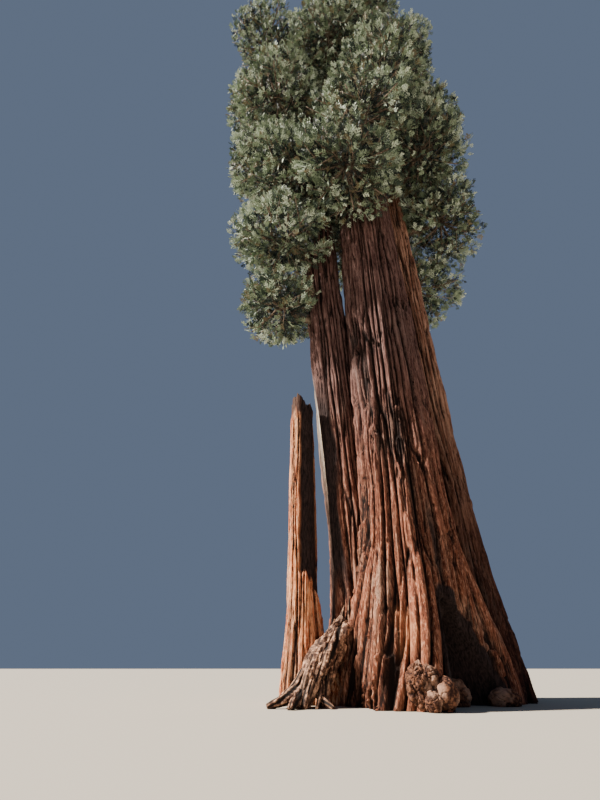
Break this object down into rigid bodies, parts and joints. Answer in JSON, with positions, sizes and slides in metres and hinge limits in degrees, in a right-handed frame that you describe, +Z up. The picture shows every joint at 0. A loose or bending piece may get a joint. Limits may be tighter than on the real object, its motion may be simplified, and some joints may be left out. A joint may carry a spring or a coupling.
{
  "type": "giant sequoia tree",
  "caption": "Clump of giant sequoia stems fused at one flared foot, with a fire scar, a broken dead stem, a bare root, burls and dense conifer crowns.",
  "frame": {"origin": "at ground level, in the middle of the flat cut under the middle trunk", "axes": "+Z up the trunks; the picture looks along +Y, with +X to its right"},
  "size_m": [12.2811, 9.7726, 40],
  "materials": {
    "bark": "thick, soft, fibrous bark in deep upright furrows, matt",
    "dead_bark": "weathered fibrous bark with charred patches, matt",
    "bare_wood": "grey weathered wood with twisted grain, matt",
    "burl": "knobbly burl bark, matt",
    "foliage": "scaly evergreen sprays, matt"
  },
  "bodies": {
    "root": {"middle_trunk": "bark", "right_trunk": "bark", "left_trunk": "bark", "broken_trunk": "dead_bark", "bare_root": "bare_wood", "large_burl": "burl", "small_burl": "burl", "hollow_burl": "burl", "left_bough_1": "bark", "left_bough_2": "bark", "left_bough_3": "bark", "left_bough_4": "bark", "right_bough_1": "bark", "right_bough_2": "bark", "right_bough_3": "bark", "middle_bough_1": "bark", "middle_bough_2": "bark", "middle_bough_3": "bark", "middle_bough_4": "bark", "middle_bough_5": "bark", "left_foliage_1": "foliage", "left_foliage_2": "foliage", "left_foliage_3": "foliage", "left_foliage_4": "foliage", "left_foliage_5": "foliage", "left_foliage_6": "foliage", "left_foliage_7": "foliage", "left_foliage_8": "foliage", "left_foliage_9": "foliage", "left_foliage_10": "foliage", "left_foliage_11": "foliage", "left_foliage_top": "foliage", "right_foliage_1": "foliage", "right_foliage_2": "foliage", "right_foliage_3": "foliage", "right_foliage_4": "foliage", "right_foliage_5": "foliage", "right_foliage_6": "foliage", "right_foliage_7": "foliage", "right_foliage_8": "foliage", "right_foliage_top": "foliage", "middle_foliage_1": "foliage", "middle_foliage_2": "foliage", "middle_foliage_3": "foliage", "middle_foliage_4": "foliage", "middle_foliage_5": "foliage", "middle_foliage_6": "foliage", "middle_foliage_7": "foliage", "middle_foliage_8": "foliage", "middle_foliage_9": "foliage", "middle_foliage_10": "foliage", "middle_foliage_11": "foliage", "middle_foliage_12": "foliage", "middle_foliage_13": "foliage", "middle_foliage_top": "foliage"}
  },
  "joints": []
}
